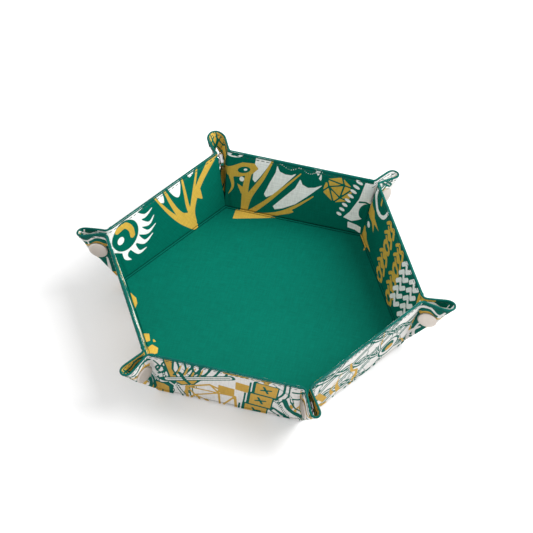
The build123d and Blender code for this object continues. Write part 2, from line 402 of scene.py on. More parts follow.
def art_fan(ink):
    """Gold ribs with scalloped white petals, a curl, a faceted die and a row of beads."""
    ink.shape("plain", [(-28, 47), (-16, 47), (-24, 31), (-27.5, 25), (-29.3, 27), (-29, 36)])
    ink.shape("plain", [
        (-14, 42), (-12, 37.4), (-8, 36), (-4, 36.4), (-0.6, 38.6), (-8, 28), (-15, 18.5),
        (-19.5, 15.4), (-21, 17.6), (-17.6, 28), (-14.6, 36)])
    ink.shape("plain", [
        (2, 35), (3.6, 31), (7.5, 29.4), (12, 30.6), (17.4, 34), (8, 23), (0, 14.5), (-8, 9.4),
        (-13, 7.4), (-14.4, 9.6), (-8, 18), (-1, 27)])
    ink.strokes(
        "gold",
        ([(-34, -4), (-31, 12), (-22.5, 30), (-16.6, 46)], 2.6, 0.6),
        ([(-31, -1), (-19, 12), (-8, 26), (2, 39)], 1.9, 0.4),
        ([(-32, -3), (-12, 4), (0, 12.5), (11.5, 23.5)], 2.2, 0.4),
    )
    ink.shape("gold", [(-10, 3.5), (-2, 9.5), (0, 8.5), (-3, 6.5)])
    ink.stroke("gold", [(-33, 0), (-33.5, 14), (-33, 25), (-31.5, 34)], 2.2, 1.8)
    ink.shape("gold", [(-36, 14), (-39.5, 22), (-33, 18)])
    ink.shape("gold", [
        (-52, 31), (-44, 34), (-37, 38.5), (-29, 39.5), (-26, 36), (-30, 31), (-38, 27), (-45, 26)])
    ink.oval("ground", (-35.5, 33), 4.4, 2.4, tilt=22)
    ink.oval("plain", (-34.5, 33.4), 1.3, 0.9, tilt=22)
    ink.stroke("gold", [(-44, 27), (-42, 19), (-44.5, 12)], 1.5, 0.3)
    ink.oval("plain", (-36.4, 25.6), 1.6, 1.9)
    ink.oval("plain", (-42, 43.4), 4.0, 1.6, tilt=10, ring=0.5)
    for step in range(22):
        ink.oval("plain", (-12 + 1.25 * step, 41.6 + 1.3 * math.cos(step * 0.6)), 0.36, 0.36)
    ink.shape("gold", [(-38.4, -9.6), (-38.4, 0.4), (-12, 0.6), (-12, -1.2), (-22, -4.6)])
    art_die(ink, (27, 32.5), 10.4, 18)
    for step in range(8):
        share = step / 7
        ink.oval("plain", (40.5 - 11 * share, 41.5 - 27 * share), 2.7 - 0.8 * share, 1.15, tilt=-28)
    ink.shape("plain", [
        (44.6, 42.5), (54, 41), (54, 24), (46.5, 14.5), (38, 10.8), (32.4, 12.6), (36.4, 18),
        (41.6, 29)])
    ink.oval("ground", (46.6, 19.6), 4.4, 6.2, tilt=-8)
    ink.stroke("ground", [(42, 26.6), (46, 27), (50, 24.6)], 0.7, 0.5)
    ink.shape("plain", [(35.6, 10), (42, 8.6), (44.6, 7), (44.6, 2), (41, 4.6), (36, 5.4)])
    ink.shape("plain", [(8, 47), (17, 47), (15.6, 42), (15.8, 36), (13.6, 38.6), (12, 43)])
    for step in range(3):
        ink.stroke("ground", [(13 + 3 * step, 37), (16 + 3 * step, 46)], 0.5)


def art_die(ink, centre, radius, tilt, line=0.55, hollow=False):
    """Plain faceted die: a hexagon with an inner triangle and spokes, no numerals."""
    def corner(turn, reach):
        angle = math.radians(tilt + turn)
        return centre[0] + reach * math.cos(angle), centre[1] + reach * math.sin(angle)
    outer = [corner(60 * step, radius) for step in range(6)]
    inner = [corner(30 + 120 * step, radius * 0.58) for step in range(3)]
    edge = "gold" if hollow else "ground"
    if not hollow:
        ink.shape("gold", outer)
    for step in range(3):
        ink.stroke(edge, [inner[step], inner[(step + 1) % 3]], line, bend=False)
        for reach in (0, 1, -1):
            ink.stroke(edge, [inner[step], outer[(2 * step + reach + 1) % 6]], line, bend=False)
    if hollow:
        for step in range(6):
            ink.stroke(edge, [outer[step], outer[(step + 1) % 6]], line * 1.3, bend=False)


def art_bolts(ink):
    """Lightning bolts, a ring, two columns of gold coils and two columns of white chevrons."""
    for drop in (0, 20):
        ink.shape("gold", [
            (-50, 30 - drop), (-40, 29 - drop), (-37, 26 - drop), (-26.5, 24.4 - drop),
            (-35, 22.6 - drop), (-32, 16.4 - drop), (-38.4, 20.6 - drop), (-50, 20 - drop)])
    ink.oval("plain", (-35, 43.5), 10.6, 10.2, ring=1.3)
    ink.stroke("plain", [(-46, 39), (-38, 33.4), (-33, 33.5)], 1.6)
    ink.stroke("gold", [(-37, 44), (-35, 40)], 0.9)
    ink.oval("plain", (-41.5, 15.6), 2.4, 2.0)
    for column, lean in ((-16, 0.12), (3.5, 0.14)):
        for row in range(6):
            height = 40.5 - 7.1 * row
            shift = column + lean * (43 - height) * 1.3
            if row % 3 == 2:
                ink.oval("gold", (shift + 3, height), 4.6, 2.9, tilt=-8, ring=1.0)
            else:
                ink.stroke("gold", [
                    (shift - 4.5, height - 1.6), (shift - 1, height + 1.9), (shift + 2.5, height - 0.4),
                    (shift + 6, height + 1.8), (shift + 9, height - 2.2)], 1.1, 1.5)
        for row in range(5):
            height = 37 - 7.1 * row
            shift = column + lean * (43 - height) * 1.3
            ink.stroke("gold", [(shift - 2, height + 1.4), (shift + 4, height - 1.2)], 0.9, 1.2)
    for column in (15.0, 30.5):
        for row in range(5):
            height = 40.4 - 7.3 * row
            ink.stroke("plain", [
                (column, height - 2.8), (column + 4.2, height + 2.6), (column + 7.4, height - 2.6),
                (column + 12, height + 2.8)], 1.5, bend=False)
    ink.shape("gold", [(44.5, 47), (58, 47), (56, 30), (47, 31)])


def art_games(ink):
    """Outer panel: a sword, a hollow die, a checker patch, three blocks and curved bands."""
    art_leaves(ink, 5, count=22, left=-58, right=-20)
    art_leaves(ink, 8, count=14, left=32, right=58)
    for lean in range(5):
        left = 5.5 * lean - 27
        ink.stroke("plain", [(left, 30 + lean), (left + 3, 36), (left + 7, 45)], 0.8)
    ink.stroke("plain", [(-46, 40), (-42.5, 34), (-44.5, 28)], 0.7)
    ink.stroke("plain", [(-44, 24), (-39.5, 30), (-41, 37), (-38, 43)], 0.8, 0.5)
    ink.oval("plain", (-42.2, 30.6), 3.0, 4.4, ring=0.6)
    ink.shape("plain", [(-40.6, 47), (-32.4, 47), (-33.6, 34), (-30.6, 21), (-37, 19), (-38.8, 32)])
    ink.shape("gold", [(-39.6, 47), (-34, 47), (-35, 34), (-31.8, 21.6), (-36, 20.6), (-37.6, 33)])
    for lean in range(4):
        ink.stroke("plain", [(-34 + 4.6 * lean, 26), (-30 + 4.4 * lean, 36), (-31 + 4.8 * lean, 45)], 0.75)
        ink.stroke("gold", [(-31.5 + 4.6 * lean, 29), (-28.4 + 4.6 * lean, 41)], 0.7, 0.4)
    ink.shape("plain", [(-36, 20), (-30, 14), (-21, 19), (-16, 27), (-26, 27)])
    ink.shape("gold", [(-33.6, 18.6), (-29.4, 15.4), (-21.6, 19.6), (-19, 25), (-27, 25)])
    ink.stroke("plain", [(-41, 17.6), (3.4, 38.6)], 2.6)
    ink.stroke("ground", [(-38.6, 18.8), (2.4, 38.0)], 1.6)
    ink.stroke("plain", [(-38.6, 18.8), (2.4, 38.0)], 0.35)
    ink.stroke("plain", [(-30, 31), (-27.6, 24), (-24.6, 19)], 1.3)
    ink.shape("plain", [(-53, 12), (-42, 13), (-33, 18), (-35.5, 8), (-36, -6), (-53, -6)])
    ink.shape("gold", [(-52, 10), (-41.5, 11.4), (-38, 8.6), (-38.6, -5), (-41, -5), (-42.4, 3), (-45, -5)])
    ink.stroke("ground", [(-37.2, 15), (-33.8, 10), (-34.6, -4)], 0.6)
    for column, row in ((0, 0), (1, 1), (2, 0), (2, 2)):
        left, low = -6.2 + 10.2 * column + 1.2 * row, 15.6 + 10.6 * row - 1.6 * column
        ink.shape("gold", [
            (left, low), (left + 10.2, low - 1.8), (left + 11, low + 8.8), (left + 0.8, low + 10.4)])
    ink.shape("ground", [(12.6, 13), (24, 11), (24, 47), (17, 47)])
    art_die(ink, (-11, 5.4), 18, 30, line=0.7, hollow=True)
    for block in range(3):
        left, low = 17.6 - 4.3 * block, 25.6 - 15.6 * block
        outline = [(left, low), (left + 13.4, low - 1.6), (left + 15.6, low + 12.6), (left + 1.8, low + 14)]
        ink.stroke("plain", [outline[3], outline[0], (left + 13.4, low - 1.6)], 1.9, bend=False)
        ink.shape("plain", outline, grow=0.9)
        ink.shape("gold", outline)
        ink.stroke("plain", [(left - 3.6, low - 1.5), (left - 1.8, low + 12.8)], 0.6)
        x, y = left + 7.4, low + 6.4
        ink.stroke("plain", [(x - 3, y - 1), (x + 3.4, y + 0.6)], 0.8)
        ink.stroke("plain", [(x - 1, y + 3.6), (x + 1, y - 3.8)], 0.8)
    ink.stroke("gold", [(-1, 43.3), (28, 43.6)], 1.1)
    ink.stroke("ground", [(15, 43.5), (22, 43.6)], 0.7)
    ink.strokes(
        "plain",
        ([(36.6, 24), (38.6, 14), (44, 7.4), (51, 3)], 1.7, 2.1),
        ([(41, 23), (43.4, 15.6), (51, 9)], 0.7),
        ([(30, 22), (36, 32), (38, 46)], 0.75),
        ([(33, 19), (39, 30), (41, 46)], 0.5),
        ([(29, 10), (36, 3), (43, -4)], 0.9),
        ([(27, 6), (34, -1)], 0.6),
    )
    ink.stroke("plain", [(42, 28), (50, 30), (48.6, 38), (42.4, 37)], 0.9, bend=False)
    ink.stroke("plain", [(-22, 45), (-20, 36), (-14, 34), (-10, 44)], 0.7)


def art_leaves(ink, seed, count, left=-58.0, right=58.0):
    """Long overlapping leaf strokes with outlined veins and a few gold ones."""
    draw = random.Random(seed)
    for step in range(count):
        x = left + (right - left) * (step + draw.random()) / count
        low = draw.uniform(-4, 24)
        length = draw.uniform(12, 26)
        lean = draw.uniform(-9, 9) - 5
        bow = draw.uniform(-4, 4)
        line = [(x, low), (x + lean * 0.5 + bow, low + length * 0.5), (x + lean, low + length)]
        wide = draw.uniform(0.7, 1.9)
        if draw.random() < 0.22:
            ink.stroke("gold", line, wide, 0.3)
        else:
            ink.stroke("plain", line, wide, 0.4)
            ink.stroke("ground", line, wide * 0.4, 0.1)


def art_tray_side(ink):
    """Outer panel of long waves and leaves, with a roundel."""
    for row in range(7):
        height = 7.6 * row - 2
        wave = [(-60 + 15 * step, height + 7 * math.sin(1.9 * step + 2.3 * row)) for step in range(9)]
        ink.stroke("plain", wave, 2.7, 1.6)
        ink.stroke("ground", wave, 0.9, 0.3)
    art_leaves(ink, 11, count=34)
    ink.oval("ground", (27, 15), 10, 10)
    ink.oval("plain", (27, 15), 8.6, 8.6, ring=0.8)
    ink.oval("plain", (26, 16), 5.4, 5.4)
    ink.oval("gold", (28, 13.4), 3.4, 3.0)
    ink.stroke("gold", [(-12, 34), (-8, 22), (-2, 16), (-3, 6)], 0.9, 1.4)
    ink.shape("gold", [(-42, 24), (-38, 26), (-26, 8), (-30, 6)])


def art_pebbles(ink):
    """Gold ribs, with pebbles that spill over the fold onto the floor."""
    art_fan(ink)
    ink.shapes(
        "gold",
        [(34, -1.9), (28.8, -4.4), (24.2, -4.0), (20.1, -1.5), (26.4, -0.6)],
        [(-1.3, -1.3), (-2.3, -5.2), (-8.2, -4.3), (-8.6, -1.3), (-5, -0.6)],
        [(-13.5, -1.3), (-11.4, -4.7), (-15.2, -7.8), (-19.3, -6.2), (-19.8, -2.0), (-17.8, 0)],
        [(-6.4, -6.5), (-9.8, -7.8), (-9.8, -5.9)],
    )


INNER_ART = {1: art_bolts, 2: art_fan, 3: art_plume, 4: art_pebbles, 5: art_bolts, 6: art_plume}
OUTER_ART = {1: art_tray_side, 2: art_games, 3: art_tray_side, 4: art_games, 5: art_games, 6: art_tray_side}


def wall_print(number, face, height, along):
    """Ink on one face of a wall: face 1 is the lining, -1 the cover."""
    ink = Ink(-along * face, height)
    (INNER_ART if face > 0 else OUTER_ART)[number](ink)
    return ink


def cloth_attributes(face, ink, rim, crease=0.0):
    return {
        "outer": np.full(rim.shape, 0.0 if face > 0 else 1.0),
        "plain_ink": ink.plain,
        "gold_ink": ink.gold,
        "rim": rim,
        # painted shade along the fold's pressed lines, from 0 to 1
        "crease": np.broadcast_to(crease, rim.shape),
    }


# ================================================================== materials
class Nodes:
    """Short calls for building one material's node tree."""

    def __init__(self, name, roughness, metallic=0.0):
        self.material = bpy.data.materials.new(name)
        self.material.use_nodes = True
        self.tree = self.material.node_tree
        self.shader = self.tree.nodes["Principled BSDF"]
        self.shader.inputs["Roughness"].default_value = roughness
        self.shader.inputs["Metallic"].default_value = metallic

    def link(self, source, target):
        self.tree.links.new(source, target)

    def node(self, kind, **inputs):
        made = self.tree.nodes.new(kind)
        for key, value in inputs.items():
            made.inputs[key].default_value = value
        return made

    def attribute(self, name):
        made = self.tree.nodes.new("ShaderNodeAttribute")
        made.attribute_name = name
        return made.outputs["Fac"]

    def math(self, operation, a, b=None, c=None):
        made = self.tree.nodes.new("ShaderNodeMath")
        made.operation = operation
        for socket, value in zip(made.inputs, (a, b, c)):
            if value is None:
                continue
            if isinstance(value, (int, float)):
                socket.default_value = value
            else:
                self.link(value, socket)
        return made.outputs[0]

    def scaled(self, value, low, high, out_low=0.0, out_high=1.0):
        made = self.tree.nodes.new("ShaderNodeMapRange")
        made.inputs["From Min"].default_value = low
        made.inputs["From Max"].default_value = high
        made.inputs["To Min"].default_value = out_low
        made.inputs["To Max"].default_value = out_high
        self.link(value, made.inputs["Value"])
        return made.outputs["Result"]

    def mix(self, share, a, b, blend="MIX"):
        made = self.tree.nodes.new("ShaderNodeMix")
        made.data_type = "RGBA"
        made.blend_type = blend
        for socket, value in ((made.inputs[0], share), (made.inputs[6], a), (made.inputs[7], b)):
            if isinstance(value, (int, float)):
                socket.default_value = value
            elif isinstance(value, tuple):
                socket.default_value = (*value, 1)
            else:
                self.link(value, socket)
        return made.outputs[2]

    def cloth_uv(self, scale):
        coordinates = self.tree.nodes.new("ShaderNodeUVMap")
        coordinates.uv_map = "cloth"
        place = self.tree.nodes.new("ShaderNodeMapping")
        place.inputs["Scale"].default_value = scale
        self.link(coordinates.outputs["UV"], place.inputs["Vector"])
        return place.outputs["Vector"]

    def noise(self, vector, scale, detail=2.0, roughness=0.5):
        made = self.node("ShaderNodeTexNoise", Scale=scale, Detail=detail, Roughness=roughness)
        if vector is not None:
            self.link(vector, made.inputs["Vector"])
        return made.outputs["Fac"]

    def object_noise(self, scale, detail=2.0, roughness=0.5):
        place = self.tree.nodes.new("ShaderNodeTexCoord")
        return self.noise(place.outputs["Object"], scale, detail, roughness)

    def spread(self, noise, out_low=0.0, out_high=1.0):
        """Noise's usual range stretched over another."""
        return self.scaled(noise, 0.3, 0.7, out_low, out_high)

    def bump(self, height, strength, distance):
        made = self.node("ShaderNodeBump", Strength=strength, Distance=distance)
        self.link(height, made.inputs["Height"])
        self.link(made.outputs["Normal"], self.shader.inputs["Normal"])

    def colour(self, source):
        self.link(source, self.shader.inputs["Base Color"])
        return self.material


def weave(nodes):
    """Fine plain weave: threads both ways, of uneven thickness."""
    across = nodes.noise(nodes.cloth_uv((125, 12, 1)), 1.0, 3.0)
    down = nodes.noise(nodes.cloth_uv((12, 125, 1)), 1.0, 3.0)
    return nodes.math("MULTIPLY", nodes.math("ADD", across, down), 0.5)


GREEN = (0.0005, 0.123, 0.085)
GREEN_INK = (0.003, 0.100, 0.075)
WHITE = (0.86, 0.86, 0.845)
WHITE_OUTER = (0.64, 0.63, 0.61)
GOLD = (0.60, 0.385, 0.062)
GOLD_OUTER = (0.47, 0.29, 0.06)
TEAL = (0.001, 0.088, 0.070)
TEAL_WORN = (0.004, 0.125, 0.100)
TEAL_DARK = (0.001, 0.050, 0.041)
INK_EDGE = 0.07             # half width in mm of the soft edge between two inks


def cloth_material():
    nodes = Nodes("printed_cloth", 0.62)
    threads = weave(nodes)
    outer = nodes.attribute("outer")
    ground = nodes.mix(outer, GREEN, WHITE_OUTER)
    plain = nodes.mix(outer, WHITE, GREEN_INK)
    gold = nodes.mix(outer, GOLD, GOLD_OUTER)
    fray = nodes.spread(threads, -0.06, 0.06)
    colour = ground
    for name, ink in (("plain_ink", plain), ("gold_ink", gold)):
        distance = nodes.math("ADD", nodes.attribute(name), fray)
        colour = nodes.mix(nodes.scaled(distance, INK_EDGE, -INK_EDGE), colour, ink)
    tone = nodes.spread(threads, 0.82, 1.14)
    patch = nodes.spread(nodes.noise(nodes.cloth_uv((1, 1, 1)), 2.2, 3.0), 0.96, 1.04)
    tone = nodes.math("MULTIPLY", tone, patch)
    # Painted shade: the cloth darkens to 35% along the fold's pressed lines, where their shadow falls
    tone = nodes.math("MULTIPLY", tone, nodes.scaled(nodes.attribute("crease"), 0.0, 1.0, 1.0, 0.35))
    shade = nodes.tree.nodes.new("ShaderNodeCombineColor")
    for socket in shade.inputs[:3]:
        nodes.link(tone, socket)
    colour = nodes.mix(1.0, colour, shade.outputs[0], "MULTIPLY")
    nodes.bump(threads, 0.35, 0.0002)
    nodes.shader.inputs["Specular IOR Level"].default_value = 0.03
    return nodes.colour(colour)


def edge_material():
    """Pressed and painted edge of the laminate, a little uneven."""
    nodes = Nodes("edge_binding", 0.5)
    grain = nodes.noise(nodes.cloth_uv((60, 60, 1)), 1.0, 3.0)
    wear = nodes.noise(nodes.cloth_uv((9, 9, 1)), 1.0, 4.0)
    colour = nodes.mix(nodes.scaled(wear, 0.35, 0.75), TEAL, TEAL_WORN)
    colour = nodes.mix(nodes.scaled(grain, 0.3, 0.8, 0.0, 0.5), colour, TEAL_DARK)
    nodes.shader.inputs["Specular IOR Level"].default_value = 0.06
    nodes.bump(grain, 0.5, 0.0002)
    return nodes.colour(colour)


def thread_material():
    nodes = Nodes("stitch_thread", 0.6)
    twist = nodes.object_noise(2600.0)
    colour = nodes.mix(nodes.spread(twist), (0.003, 0.035, 0.030), (0.010, 0.085, 0.068))
    nodes.bump(twist, 0.6, 0.0001)
    return nodes.colour(colour)


def metal_material(name, colour, dark, roughness, scratch):
    nodes = Nodes(name, roughness, 1.0)
    grain = nodes.object_noise(scratch, 4.0, 0.6)
    haze = nodes.object_noise(160.0)
    tint = nodes.mix(nodes.spread(haze), colour, dark)
    shine = nodes.spread(grain, roughness * 0.8, roughness * 1.25)
    nodes.link(shine, nodes.shader.inputs["Roughness"])
    nodes.bump(grain, 0.12, 0.00008)
    return nodes.colour(tint)


def board_material():
    nodes = Nodes("stiffener_board", 0.85)
    fibre = nodes.object_noise(900.0, 5.0, 0.7)
    colour = nodes.mix(nodes.spread(fibre), (0.36, 0.32, 0.26), (0.52, 0.48, 0.40))
    nodes.bump(fibre, 0.4, 0.0002)
    return nodes.colour(colour)


CLOTH_LOOK = cloth_material()
EDGE_LOOK = edge_material()
THREAD_LOOK = thread_material()
CAP_LOOK = metal_material("snap_cap_nickel", (0.56, 0.51, 0.465), (0.50, 0.45, 0.405), 0.36, 900.0)
CHROME_LOOK = metal_material("snap_chrome", (0.82, 0.82, 0.83), (0.66, 0.66, 0.68), 0.14, 700.0)
BOARD_LOOK = board_material()


def paint(piece, look):
    piece.data.materials.clear()
    piece.data.materials.append(look)


def dress(piece, look):
    paint(piece, look)
    return piece


# ================================================================== walls
def fold_path(height):
    """Middle surface past the fold: outward and up from the fold line, and how far it has turned."""
    radius = FOLD_TANGENT / math.tan(FOLD / 2)
    turn = FOLD * np.clip((height + FOLD_TANGENT) / (2 * FOLD_TANGENT), 0, 1)
    out = -FOLD_TANGENT + radius * np.sin(turn)
    rise = radius * (1 - np.cos(turn))
    out = np.where(height < -FOLD_TANGENT, height, out)
    rise = np.where(height < -FOLD_TANGENT, 0.0, rise)
    past = height > FOLD_TANGENT
    out = np.where(past, height * math.cos(FOLD), out)
    rise = np.where(past, height * math.sin(FOLD), rise)
    return out, rise, turn


def board_cover(height, along):
    """1 over a wall's board, falling to 0 past its slanting ends."""
    end = CREASE_START + height * math.tan(CREASE_TILT) - BOARD_SETBACK / math.cos(CREASE_TILT)
    return 1 - smooth(*BOARD_END_TAPER, np.abs(along) - end)


def stitch_dip(rim, along):
    """Cloth pulled down along the thread line, deepest at the needle holes."""
    hole = 0.5 + 0.5 * np.cos(2 * math.pi * along / STITCH_PITCH)
    return DIP_DEPTH * np.exp(-((rim - STITCH_DEPTH) / DIP_WIDTH) ** 2) * (0.45 + 0.55 * hole)


def wall_grid(wall, heights):
    """Middle surface, normal and flat place of a wall's cloth over its straight part and floor strip."""
    shares = np.linspace(-1, 1, int(SIDE / GRID) + 1)
    share, height = np.meshgrid(shares, heights, indexing="ij")
    half = SIDE / 2 + np.minimum(height, 0) * math.tan(HALF_CORNER)
    along = share * half
    out, rise, turn = fold_path(height)
    mid = wall.origin + out[..., None] * wall.outward + rise[..., None] * wall.up
    mid = mid + along[..., None] * wall.along
    normal = np.cos(turn)[..., None] * wall.up - np.sin(turn)[..., None] * wall.outward
    return mid, normal, height, along


def wall_half_thickness(height, along, rim):
    """Half thickness over the wall and its strip of floor, with the lines pressed along the fold."""
    wall = EAR_HALF + (WALL_HALF - EAR_HALF) * board_cover(height, along)
    above = smooth(*FOLD_TAPER, height)
    wall = np.minimum(wall, RIM_HALF + (WALL_HALF - RIM_HALF) * smooth(*RIM_TAPER, rim))
    half = wall * above + MIDDLE * (1 - above)
    for groove in GROOVES:
        half = half - GROOVE_DEPTH * np.exp(-((height - groove) / GROOVE_WIDTH) ** 2)
    return np.maximum(half, EAR_HALF) - stitch_dip(rim, along)


def fold_crease_shade(height):
    """How deep a point lies in the fold's pressed lines, from 0 to 1, which darkens the cloth there as
    painted shade.
    """
    return sum(np.exp(-((height - groove) / (0.8 * GROOVE_WIDTH)) ** 2) for groove in GROOVES)


def blend_wall(piece):
    """Bake a piece's placement into its mesh."""
    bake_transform(piece)


def make_wall_cloth(wall, face, name, node):
    heights = np.concatenate([
        np.arange(-FLOOR_STRIP, -2.2, GRID), np.arange(-2.2, 3.4, 0.22), np.arange(3.4, REACH - 4.2, GRID),
        np.arange(REACH - 4.2, REACH - 0.5, 0.3), [REACH - 0.3]])
    mid, normal, height, along = wall_grid(wall, heights)
    rim = REACH - height
    half = wall_half_thickness(height, along, rim) * (0.5 + 0.5 * round_edge(rim, EDGE_ROUND))
    on_wall = CLOTH_GAP + (BOARD_HALF - CLOTH_GAP) * board_cover(height, along)
    inside = np.where(height > 0, on_wall, BOARD_HALF)
    inner = np.minimum(inside, half - CLOTH_LEAST)
    ink = wall_print(wall.number, face, height, along)
    high, low = (half, inner) if face > 0 else (-inner, -half)
    piece = shell(name, mid, normal, high, low, wall.flat(height, along),
                  lambda _: cloth_attributes(face, ink, rim, fold_crease_shade(height)))
    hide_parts(node)
    blend_wall(piece)
    return dress(piece, CLOTH_LOOK)


def edge_rows(depth):
    """Distances from the rim, closer together towards it."""
    return depth * np.array([1.0, 0.8, 0.6, 0.45, 0.32, 0.21, 0.13, 0.07, 0.03, 0.0])


def make_wall_edge(wall):
    """Teal edge over the rim."""
    mid, normal, height, along = wall_grid(wall, REACH - edge_rows(WALL_EDGE + 0.5))
    rim = REACH - height
    half = (wall_half_thickness(height, along, rim) + EDGE_PROUD) * round_edge(rim, EDGE_ROUND)
    blank = Ink(along, height)
    piece = shell(f"edge_wall_{wall.number}", mid, normal, half, -half, wall.flat(height, along),
                  lambda side: cloth_attributes(side, blank, rim))
    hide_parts(f"rim_binding_{wall.number}")
    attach(piece, f"wall_{wall.number}")
    return dress(piece, EDGE_LOOK)


# ================================================================== ears
class Ear:
    """Cloth between a wall and the plane that halves its corner: a cone with its tip at the corner.

    side is 1 at the wall's left end (anticlockwise), -1 at its right end.
    """

    def __init__(self, wall, side):
        self.wall = wall
        self.side = side
        self.azimuth = (round(math.degrees(math.atan2(wall.outward[1], wall.outward[0]))) + 30 * side) % 360
        tip_half, mouth_half, droop, self.stretch = LOOPS[self.azimuth]
        self.spread = (tip_half - mouth_half) / PINCH_RUN
        self.corner = wall.origin + wall.along * (side * SIDE / 2)
        self.radial = wall.outward * math.cos(HALF_CORNER) + wall.along * (side * math.sin(HALF_CORNER))
        self.across = np.cross(self.radial, wall.up) * -side
        self.tip_width = 0.75 * math.pi * tip_half * math.cos(HALF_CORNER) / REACH
        self.angles = np.linspace(0, HALF_CORNER, EAR_STEPS + 1)
        self.solve()
        drop = math.radians(droop) * smooth(self.pinch, HALF_CORNER, self.angles) * side
        self.lines = turned(self.lines, self.across, drop)
        self.normals = turned(self.normals, self.across, drop)
        self.body = f"ear_{side_name(side)}_{wall.number}"
        self.seat = self.snap_seat()

    def trace(self, centre, tip_turn):
        """Directions and normals of the cone's lines, for one pinch place and one turn at the tip."""
        step = self.angles[1] - self.angles[0]
        mids = self.angles[:-1] + step / 2
        pinch = np.clip((mids - centre) / PINCH_WIDTH + 0.5, 0, 1)
        pinch = np.sin(math.pi * pinch) ** 1.4
        tip = smooth(0, 0.6, (mids - (HALF_CORNER - self.tip_width)) / self.tip_width)
        turns = tip_turn * tip / tip.sum() - (PINCH_TURN + self.spread) * pinch / max(pinch.sum(), 1e-9)
        line = self.wall.upright.copy()
        ahead = self.wall.along * self.side
        normal = self.wall.inward.copy()
        lines, normals = [line], [normal]
        for turn in turns:
            line, ahead = (line * math.cos(step) + ahead * math.sin(step),
                           ahead * math.cos(step) - line * math.sin(step))
            ahead, normal = (ahead * math.cos(turn) + normal * math.sin(turn),
                             normal * math.cos(turn) - ahead * math.sin(turn))
            lines.append(line)
            normals.append(normal)
        return np.array(lines), np.array(normals)

    def miss(self, values):
        lines, normals = self.trace(*values)
        return np.array([lines[-1] @ self.across, normals[-1] @ self.across])

    def solve(self):
        """Find the pinch place and tip turn that close the ear square on the halving plane."""
        values = np.array([CREASE_TILT * 0.9, math.pi / 2 + self.spread])
        for _ in range(SOLVER_ROUNDS):
            here = self.miss(values)
            slopes = np.empty((2, 2))
            for column in range(2):
                moved = values.copy()
                moved[column] += SOLVER_STEP
                slopes[:, column] = (self.miss(moved) - here) / SOLVER_STEP
            values = values - np.linalg.solve(slopes, here)
        self.pinch = values[0]
        self.lines, self.normals = self.trace(*values)

    def snap_seat(self):
        """Where the snap's axis meets the plane that halves the corner."""
        joint = JOINTS[f"{self.body}_fold"]
        crease = unit(np.array(joint["axis"])) * self.side
        out = unit(self.radial - crease * (self.radial @ crease))
        seat = np.array(joint["pos_m"]) / MM + crease * SNAP_UP + out * SNAP_OUT
        return seat - self.across * float((seat - self.corner) @ self.across)

    def reach(self, angle):
        """Distance from the corner to the rim, whose outline is rounded at the ear's tip."""
        straight = REACH / np.cos(angle)
        centre = (REACH - EAR_TIP_RADIUS) / math.cos(HALF_CORNER)
        gap = HALF_CORNER - angle
        inside = np.maximum(EAR_TIP_RADIUS ** 2 - (centre * np.sin(gap)) ** 2, 0)
        arc = centre * np.cos(gap) + np.sqrt(inside)
        tangent = math.atan((REACH - EAR_TIP_RADIUS) * math.tan(HALF_CORNER) / REACH)
        cut = np.where(angle > tangent, np.minimum(arc, straight), straight)
        return cut * (1 + self.stretch * smooth(self.pinch, HALF_CORNER, angle))

    def grid(self, rims=None):
        """Middle surface, normal, flat place and rim distance of the ear."""
        angles = self.angles
        reach = self.reach(angles)[:, None]
        if rims is None:
            shares = np.linspace(0, 1, int((REACH - 4) / GRID))[None, :]
            body = EAR_FOOT + (reach - 4.2 - EAR_FOOT) * shares
            rims = np.concatenate([np.arange(3.9, 0.7, -0.3), [0.5, 0.38, 0.27, 0.17, 0.09, 0.04, 0.0]])
            distance = np.concatenate([body, reach - rims[None, :]], axis=1)
        else:
            distance = reach - rims[None, :]
        mid = self.corner + distance[..., None] * self.lines[:, None, :]
        # The snap holds the cloth at its own distance from the halving plane
        gap = (mid - self.corner) @ self.across
        from_seat = mid - self.seat
        beside = np.linalg.norm(from_seat - (from_seat @ self.across)[..., None] * self.across, axis=-1)
        pull = (1 - smooth(*SNAP_PULL, beside)) * smooth(self.pinch, self.pinch + 0.07, angles)[:, None]
        shift = np.clip(-EAR_GAP - gap, -PULL_LIMIT, PULL_LIMIT) * pull
        mid = mid + shift[..., None] * self.across
        normal = surface_normals(mid, np.repeat(self.normals[:, None, :], distance.shape[1], axis=1))
        height = distance * np.cos(angles)[:, None]
        along = self.side * (SIDE / 2 + distance * np.sin(angles)[:, None])
        rim = np.broadcast_to(reach, distance.shape) - distance
        return mid, normal, height, along, rim, distance

    def half(self, rim, distance, height, along):
        """Half thickness: a single laminate, thicker where the wall's board ends."""
        foot = 0.5 + 0.5 * smooth(0.0, 9.0, distance)
        board = (WALL_HALF - EAR_HALF) * board_cover(height, along) * smooth(2.0, 10.0, distance)
        return EAR_HALF * foot + board - 0.6 * stitch_dip(rim, along)

    def blend(self, piece):
        """Bake a piece's placement into its mesh."""
        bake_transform(piece)

    def cut_area(self):
        """Area of this ear half's cut, in square millimetres."""
        return float(np.mean(self.reach(self.angles) ** 2) / 2 * HALF_CORNER)


def side_name(side):
    return "left" if side > 0 else "right"


def make_ear_cloth(ear):
    wall = ear.wall
    mid, normal, height, along, rim, distance = ear.grid()
    half = ear.half(rim, distance, height, along) * round_edge(rim, EAR_ROUND)
    inks = {}
    for face in (1, -1):
        inks[face] = wall_print(wall.number, face, height, along)
        ear_print(inks[face], face, ear)
    piece = shell(f"{ear.body}_cloth", mid, normal, half, -half, wall.flat(height, along),
                  lambda face: cloth_attributes(face, inks[face], rim), sharp=70)
    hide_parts(ear.body)
    ear.blend(piece)
    ear.cut_area() * MM * MM
    return dress(piece, CLOTH_LOOK)


# At the corner at each azimuth: what covers the inside of the loop and its outside, and the lines' weight
EAR_GROUNDS = {
    0: ("ground", "plain", 1.2), 60: ("plain", "ground", 0.35), 120: ("gold", "plain", 0.9),
    180: ("ground", "plain", 1.0), 240: ("gold", "ground", 1.2), 300: ("gold", "ground", 1.2),
}


